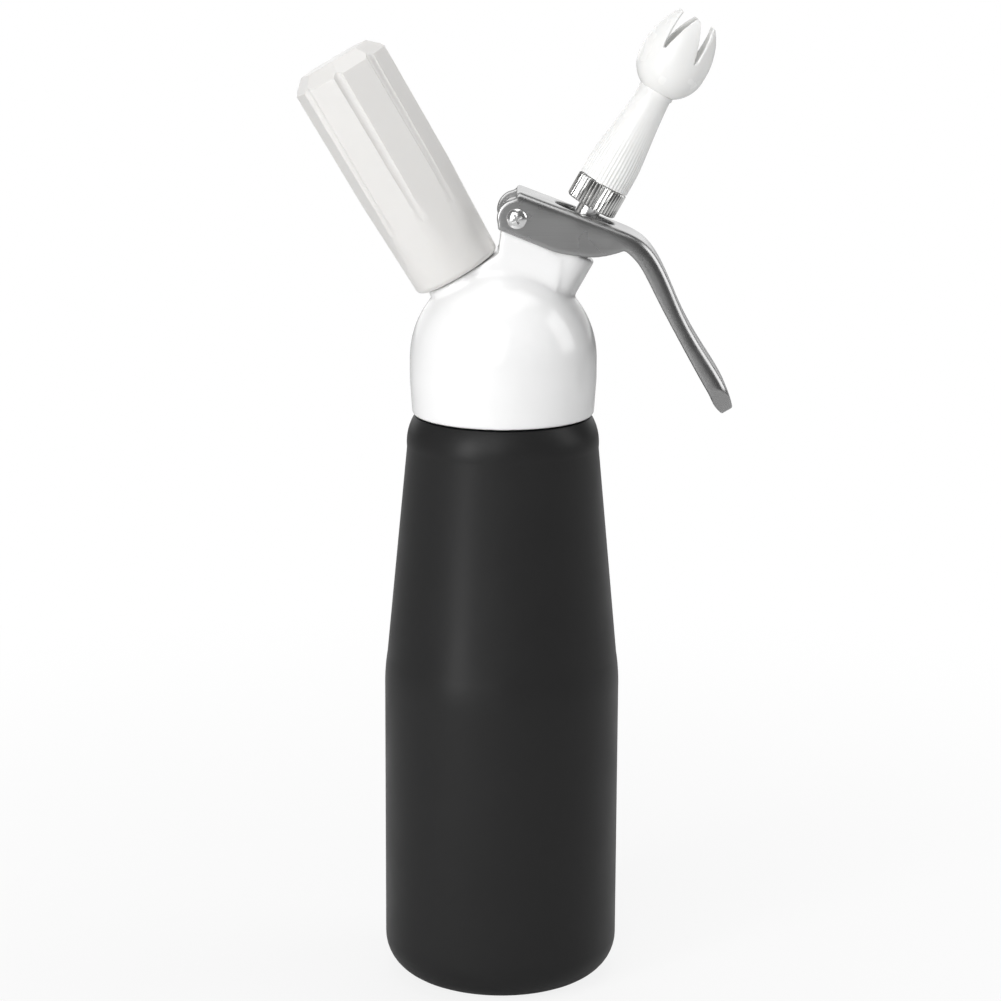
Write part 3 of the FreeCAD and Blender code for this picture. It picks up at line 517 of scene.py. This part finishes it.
class DISPENSER_OT_head(bpy.types.Operator):
    """Make the head's skin with eased creases between dome, spurs and hinge block"""
    bl_idname = "dispenser.head"
    bl_label = "Head"

    def execute(self, context):
        thing = link_mesh("head_moulding", node_copy("head_shell"))
        remeshed(thing, shape().head_grain, 14, 0.6)
        finish_piece(thing, glossy_white(), "head", "head_white", "head_shell")
        paint(soft_rubber(), "head_gasket", "charger_washer", "holder_cushion", "check_valve_disc",
              "valve_seal", "stem_ring", "nozzle_ring")
        return {"FINISHED"}


class DISPENSER_OT_holder(bpy.types.Operator):
    """Make the charger holder, its charger and the gas inlet"""
    bl_idname = "dispenser.holder"
    bl_label = "Charger holder"

    def execute(self, context):
        plastic = satin_plastic("warm_white_holder", tuple(tints().holder), 0.3, 0.4)
        dressed_node("charger_holder", "holder_moulding", plastic, "holder_plastic", 0.35 * MM)
        paint(turned_metal("charger_steel", (0.56, 0.56, 0.57), 0.18, 0.3), "gas_charger")
        paint(turned_metal("turned_aluminium", (0.76, 0.76, 0.77), 0.22, 0.35),
              "charger_stub", "valve_seat", "valve_nut", "pivot_tube")
        paint(turned_metal("sieve_steel", (0.6, 0.6, 0.6), 0.3, 0.45, 900.0), "gas_filter", "piercing_pin")
        paint(turned_metal("turned_brass", (0.72, 0.56, 0.28), 0.25, 0.38), "check_valve_cage")
        paint(satin_plastic("white_bush", (0.8, 0.8, 0.79), 0.35, 0.45), "spring_bush")
        return {"FINISHED"}


class DISPENSER_OT_valve(bpy.types.Operator):
    """Finish the stem, its washer and the springs"""
    bl_idname = "dispenser.valve"
    bl_label = "Valve"

    def execute(self, context):
        bright = turned_metal("polished_stainless", (0.72, 0.72, 0.72), 0.12, 0.22)
        paint(bright, "valve_stem", "push_washer")
        wire = turned_metal("spring_wire", (0.6, 0.6, 0.6), 0.2, 0.32)
        self.spring("valve_spring", "valve_coil", wire, "stem_push")
        self.spring("check_valve_spring", "check_valve_coil", wire, "check_valve_open")
        finish_piece(self.adaptor(), knurled_metal(), "stem", "adaptor_metal", "nozzle_adaptor")
        return {"FINISHED"}

    def spring(self, node, name, wire, joint_name):
        """A coil dressed from its node, with a mesh of its own; joint_name is not used."""
        thing = dressed_node(node, name, wire, "spring_steel", 0)
        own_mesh(thing)

    def adaptor(self):
        """A collar with ribs along its axis and a plain spigot for the nozzle."""
        ribs = shape().rib_count
        spigot_top = ADAPTOR_TOP + SPIGOT_LENGTH
        work = spun([
            (STEM_BORE, ADAPTOR_FOOT),
            (ADAPTOR_FACE, ADAPTOR_FOOT),
            (ADAPTOR_RADIUS, ADAPTOR_FOOT + ADAPTOR_CHAMFER),
            (ADAPTOR_RADIUS, ADAPTOR_TOP - ADAPTOR_CHAMFER),
            (ADAPTOR_FACE, ADAPTOR_TOP),
            (SPIGOT_RADIUS, ADAPTOR_TOP),
            (SPIGOT_RADIUS, spigot_top),
            (SPIGOT_BORE, spigot_top),
            (SPIGOT_BORE, STEM_BORE_TOP),
            (STEM_BORE, STEM_BORE_TOP),
            (STEM_BORE, ADAPTOR_FOOT),
        ], steps=ribs * 4)
        # the groove's depth is stored for the knurl's painted light and shade
        groove = work.verts.layers.float.new("groove")
        for vert in work.verts:
            radius = math.hypot(vert.co.x, vert.co.y)
            if radius > ADAPTOR_PITCHED * MM:
                phase = (math.atan2(vert.co.y, vert.co.x) * ribs / (2.0 * math.pi)) % 1.0
                depth = 1.0 - abs(2.0 * phase - 1.0)
                vert[groove] = depth
                vert.co.x *= 1.0 - KNURL_DENT * MM * depth / radius
                vert.co.y *= 1.0 - KNURL_DENT * MM * depth / radius
        work.transform(spout_matrix())
        return link_mesh("knurled_adaptor", work, math.radians(25.0))


class DISPENSER_OT_nozzle(bpy.types.Operator):
    """Make the nozzle: a ribbed foot with a waisted neck, and the pronged tulip"""
    bl_idname = "dispenser.nozzle"
    bl_label = "Nozzle"

    def execute(self, context):
        plastic = satin_plastic("white_nozzle", tuple(tints().nozzle), 0.2, 0.3)
        start = shape().nozzle_start / MM
        foot = self.foot(start)
        finish_piece(foot, plastic, "nozzle", "nozzle_plastic", "decorating_nozzle")
        tulip = self.tulip(start)
        finish_piece(tulip, plastic, "nozzle", "nozzle_plastic", "decorating_nozzle")
        return {"FINISHED"}

    def foot(self, start):
        ribs = shape().rib_count
        neck = start + NECK_HEIGHT
        outline = [
            (NOZZLE_RADIUS, start),
            (NOZZLE_RADIUS, start + 3.0, 55.0, -1),
            (8.25, start + 11.0),
            (7.55, start + 16.5),
            (6.75, start + 22.5),
            (6.15, start + 28.0),
            (5.72, neck - 0.6),
            (COLLAR_RADIUS, neck - 0.1),
            (COLLAR_RADIUS, neck + 0.9),
            (5.6, neck + 1.3),
            (PASSAGE, neck + 1.3),
            (PASSAGE, start + 13.5),
            (NOZZLE_BORE, start + 6.4),
            (NOZZLE_BORE, start),
            (NOZZLE_RADIUS, start),
        ]
        work = spun(outline, steps=ribs * 6)
        reach = RIBBED_LENGTH * MM
        for vert in work.verts:
            radius = math.hypot(vert.co.x, vert.co.y)
            height = vert.co.z - start * MM
            if radius > RIB_LIMIT * MM and height < reach:
                fade = 1.0 - (height / reach) ** 2
                wave = math.cos(math.atan2(vert.co.y, vert.co.x) * ribs) - 1.0
                grow = 1.0 + shape().rib_height * fade * wave / radius / 2.0
                vert.co.x *= grow
                vert.co.y *= grow
        work.transform(spout_matrix())
        return link_mesh("nozzle_foot", work, math.radians(50.0))

    def tulip(self, start):
        neck = start + TULIP_START
        outline = [
            (4.25, neck),
            (5.9, neck, 11.5, -1),
            (BULB_RADIUS, start + BULB_HEIGHT, 27.0, -1),
            (7.2, start + NOZZLE_LENGTH),
            (6.1, start + NOZZLE_LENGTH, 25.6, 1),
            (10.3, start + BULB_HEIGHT, 10.1, 1),
            (4.25, neck + 2.0),
            (4.25, neck),
        ]
        body = link_mesh("nozzle_tulip", spun(outline, steps=96))
        cutter = link_mesh("slot_cutter", self.slots(start))
        cut = body.modifiers.new("slots", "BOOLEAN")
        cut.operation = "DIFFERENCE"
        cut.solver = "EXACT"
        cut.object = cutter
        apply_modifiers(body)
        bpy.data.objects.remove(cutter)
        remeshed(body, shape().tulip_grain, 6)
        body.data.transform(spout_matrix(math.pi / PRONGS))
        return body

    def slots(self, start):
        """Tapering wedges that part the prongs."""
        work = bmesh.new()
        low = start + SLOT_FOOT
        high = start + SLOT_TOP
        for index in range(PRONGS):
            made = bmesh.ops.create_cube(work, size=1.0)["verts"]
            for vert in made:
                top = vert.co.z > 0
                half = SLOT_HALF_TOP if top else SLOT_HALF_FOOT
                outward = -SLOT_REACH if vert.co.y < 0 else -SLOT_START
                vert.co = Vector((math.copysign(half, vert.co.x), outward, high if top else low)) * MM
            turn = Matrix.Rotation(2.0 * math.pi / PRONGS * index, 3, "Z")
            bmesh.ops.rotate(work, verts=made, cent=(0, 0, 0), matrix=turn)
        bmesh.ops.recalc_face_normals(work, faces=work.faces)
        return work


class DISPENSER_OT_lever(bpy.types.Operator):
    """Make the brushed lever and its two hinge screws"""
    bl_idname = "dispenser.lever"
    bl_label = "Lever"

    def execute(self, context):
        thing = link_mesh("lever_pressing", node_copy("lever"))
        remeshed(thing, shape().lever_grain, 16)
        self.scoop(thing)
        finish_piece(thing, brushed_steel(), "lever", "lever_steel", "lever")
        bright = turned_metal("polished_screw", (0.75, 0.75, 0.75), 0.14, 0.24)
        dressed_node("hinge_screw_front", "front_screw", bright, "steel", 0.1 * MM)
        dressed_node("hinge_screw_rear", "rear_screw", bright, "steel", 0.1 * MM)
        return {"FINISHED"}

    def scoop(self, thing):
        """Presses a soft hollow into each corner of the handle's round end."""
        reach = SCOOP_REACH * MM
        x, y, z = SCOOP_CENTRE
        way_x, way_y, way_z = SCOOP_WAY
        for side in (-1.0, 1.0):
            centre = Vector((x, side * y, z)) * MM
            inward = Vector((way_x, side * way_y, way_z)).normalized()
            for vert in thing.data.vertices:
                distance = (vert.co - centre).length / reach
                if distance < 1.0:
                    vert.co += inward * (SCOOP_DEPTH * MM * (1.0 - distance ** 2) ** 2)


class DISPENSER_OT_stage(bpy.types.Operator):
    """Set the pale floor, the soft lamps and the camera"""
    bl_idname = "dispenser.stage"
    bl_label = "Stage"

    def execute(self, context):
        scene = context.scene
        scene.view_settings.view_transform = "Standard"
        self.world(scene)
        self.floor()
        for lamp in LAMPS:
            self.lamp(*lamp)
        self.camera(scene)
        return {"FINISHED"}

    def world(self, scene):
        """Light that grows from the camera's side to the backdrop; the camera itself sees white."""
        world = bpy.data.worlds.new("studio")
        world.use_nodes = True
        nodes, links = world.node_tree.nodes, world.node_tree.links
        background = nodes["Background"]
        background.inputs["Color"].default_value = (1, 1, 1, 1)
        place = nodes.new("ShaderNodeTexCoord")
        split = nodes.new("ShaderNodeSeparateXYZ")
        depth = nodes.new("ShaderNodeMapRange")
        depth.interpolation_type = "SMOOTHSTEP"
        depth.inputs["From Min"].default_value = 0.6
        depth.inputs["From Max"].default_value = 0.95
        depth.inputs["To Min"].default_value = 0.15
        depth.inputs["To Max"].default_value = 1.35
        path = nodes.new("ShaderNodeLightPath")
        mix = nodes.new("ShaderNodeMix")
        mix.inputs["B"].default_value = 1.0
        links.new(place.outputs["Generated"], split.inputs["Vector"])
        links.new(split.outputs["Y"], depth.inputs["Value"])
        links.new(depth.outputs["Result"], mix.inputs["A"])
        links.new(path.outputs["Is Camera Ray"], mix.inputs["Factor"])
        links.new(mix.outputs["Result"], background.inputs["Strength"])
        scene.world = world

    def floor(self):
        """A pale ground that takes the shadow close by and fades to white further off."""
        work = bmesh.new()
        bmesh.ops.create_grid(work, x_segments=1, y_segments=1, size=6.0)
        bmesh.ops.translate(work, verts=work.verts, vec=(0, 0, -0.2 * MM))
        thing = link_mesh("studio_floor", work)
        material, shader = new_material("pale_floor", (0.7, 0.7, 0.7), 0.8)
        nodes, links = material.node_tree.nodes, material.node_tree.links
        glow = nodes.new("ShaderNodeEmission")
        path = nodes.new("ShaderNodeLightPath")
        mix = nodes.new("ShaderNodeMixShader")
        place = nodes.new("ShaderNodeTexCoord")
        reach = nodes.new("ShaderNodeVectorMath")
        reach.operation = "LENGTH"
        fade = nodes.new("ShaderNodeMapRange")
        fade.interpolation_type = "SMOOTHSTEP"
        fade.inputs["From Min"].default_value = 0.05
        fade.inputs["From Max"].default_value = 0.5
        fade.inputs["To Min"].default_value = 0.85
        fade.inputs["To Max"].default_value = 1.0
        portion = nodes.new("ShaderNodeMath")
        portion.operation = "MULTIPLY"
        links.new(place.outputs["Object"], reach.inputs[0])
        links.new(reach.outputs["Value"], fade.inputs["Value"])
        links.new(fade.outputs["Result"], portion.inputs[0])
        links.new(path.outputs["Is Camera Ray"], portion.inputs[1])
        links.new(portion.outputs[0], mix.inputs["Fac"])
        links.new(shader.outputs["BSDF"], mix.inputs[1])
        links.new(glow.outputs["Emission"], mix.inputs[2])
        links.new(mix.outputs["Shader"], nodes["Material Output"].inputs["Surface"])
        thing.data.materials.append(material)

    def lamp(self, name, place, width, height, power):
        light = bpy.data.lights.new(name, "AREA")
        light.shape = "RECTANGLE"
        light.size = width
        light.size_y = height
        light.energy = power
        thing = bpy.data.objects.new(name, light)
        thing.location = place
        target = Vector(LAMP_TARGET)
        thing.rotation_euler = (target - Vector(place)).to_track_quat("-Z", "Y").to_euler()
        bpy.context.collection.objects.link(thing)

    def camera(self, scene):
        """The photograph's view: 1 m from the bottle's axis, looking 13 degrees down."""
        view = bpy.data.cameras.new("view")
        view.lens = 109.1
        view.sensor_width = 36.0
        view.shift_x = -0.0021
        view.clip_end = 50.0
        thing = bpy.data.objects.new("view", view)
        thing.location = (0.0, -CAMERA_DISTANCE, shape().rim_height + CAMERA_RISE)
        pitch = Matrix.Rotation(math.radians(90.0 - CAMERA_PITCH), 4, "X")
        roll = Matrix.Rotation(math.radians(CAMERA_ROLL), 4, "Z")
        thing.rotation_euler = (pitch @ roll).to_euler()
        bpy.context.collection.objects.link(thing)
        scene.camera = thing


class DISPENSER_PT_panel(bpy.types.Panel):
    """Lists the pieces of the dispenser"""
    bl_idname = "DISPENSER_PT_panel"
    bl_label = "Cream dispenser"
    bl_space_type = "VIEW_3D"
    bl_region_type = "UI"
    bl_category = "Dispenser"

    def draw(self, context):
        column = self.layout.column(align=True)
        for operator in PIECES:
            column.operator(operator.bl_idname)


PIECES = (
    DISPENSER_OT_bottle,
    DISPENSER_OT_head,
    DISPENSER_OT_holder,
    DISPENSER_OT_valve,
    DISPENSER_OT_nozzle,
    DISPENSER_OT_lever,
    DISPENSER_OT_stage,
)
CLASSES = (DispenserShape, DispenserTint, *PIECES, DISPENSER_PT_panel)


def register():
    for entry in CLASSES:
        bpy.utils.register_class(entry)
    bpy.types.Scene.dispenser_shape = PointerProperty(type=DispenserShape)
    bpy.types.Scene.dispenser_tint = PointerProperty(type=DispenserTint)


def unregister():
    del bpy.types.Scene.dispenser_tint
    del bpy.types.Scene.dispenser_shape
    for entry in reversed(CLASSES):
        bpy.utils.unregister_class(entry)


def main():
    register()
    bpy.ops.dispenser.stage()
    bpy.ops.dispenser.bottle()
    bpy.ops.dispenser.head()
    bpy.ops.dispenser.holder()
    bpy.ops.dispenser.valve()
    bpy.ops.dispenser.nozzle()
    bpy.ops.dispenser.lever()


if __name__ == "__main__":
    main()
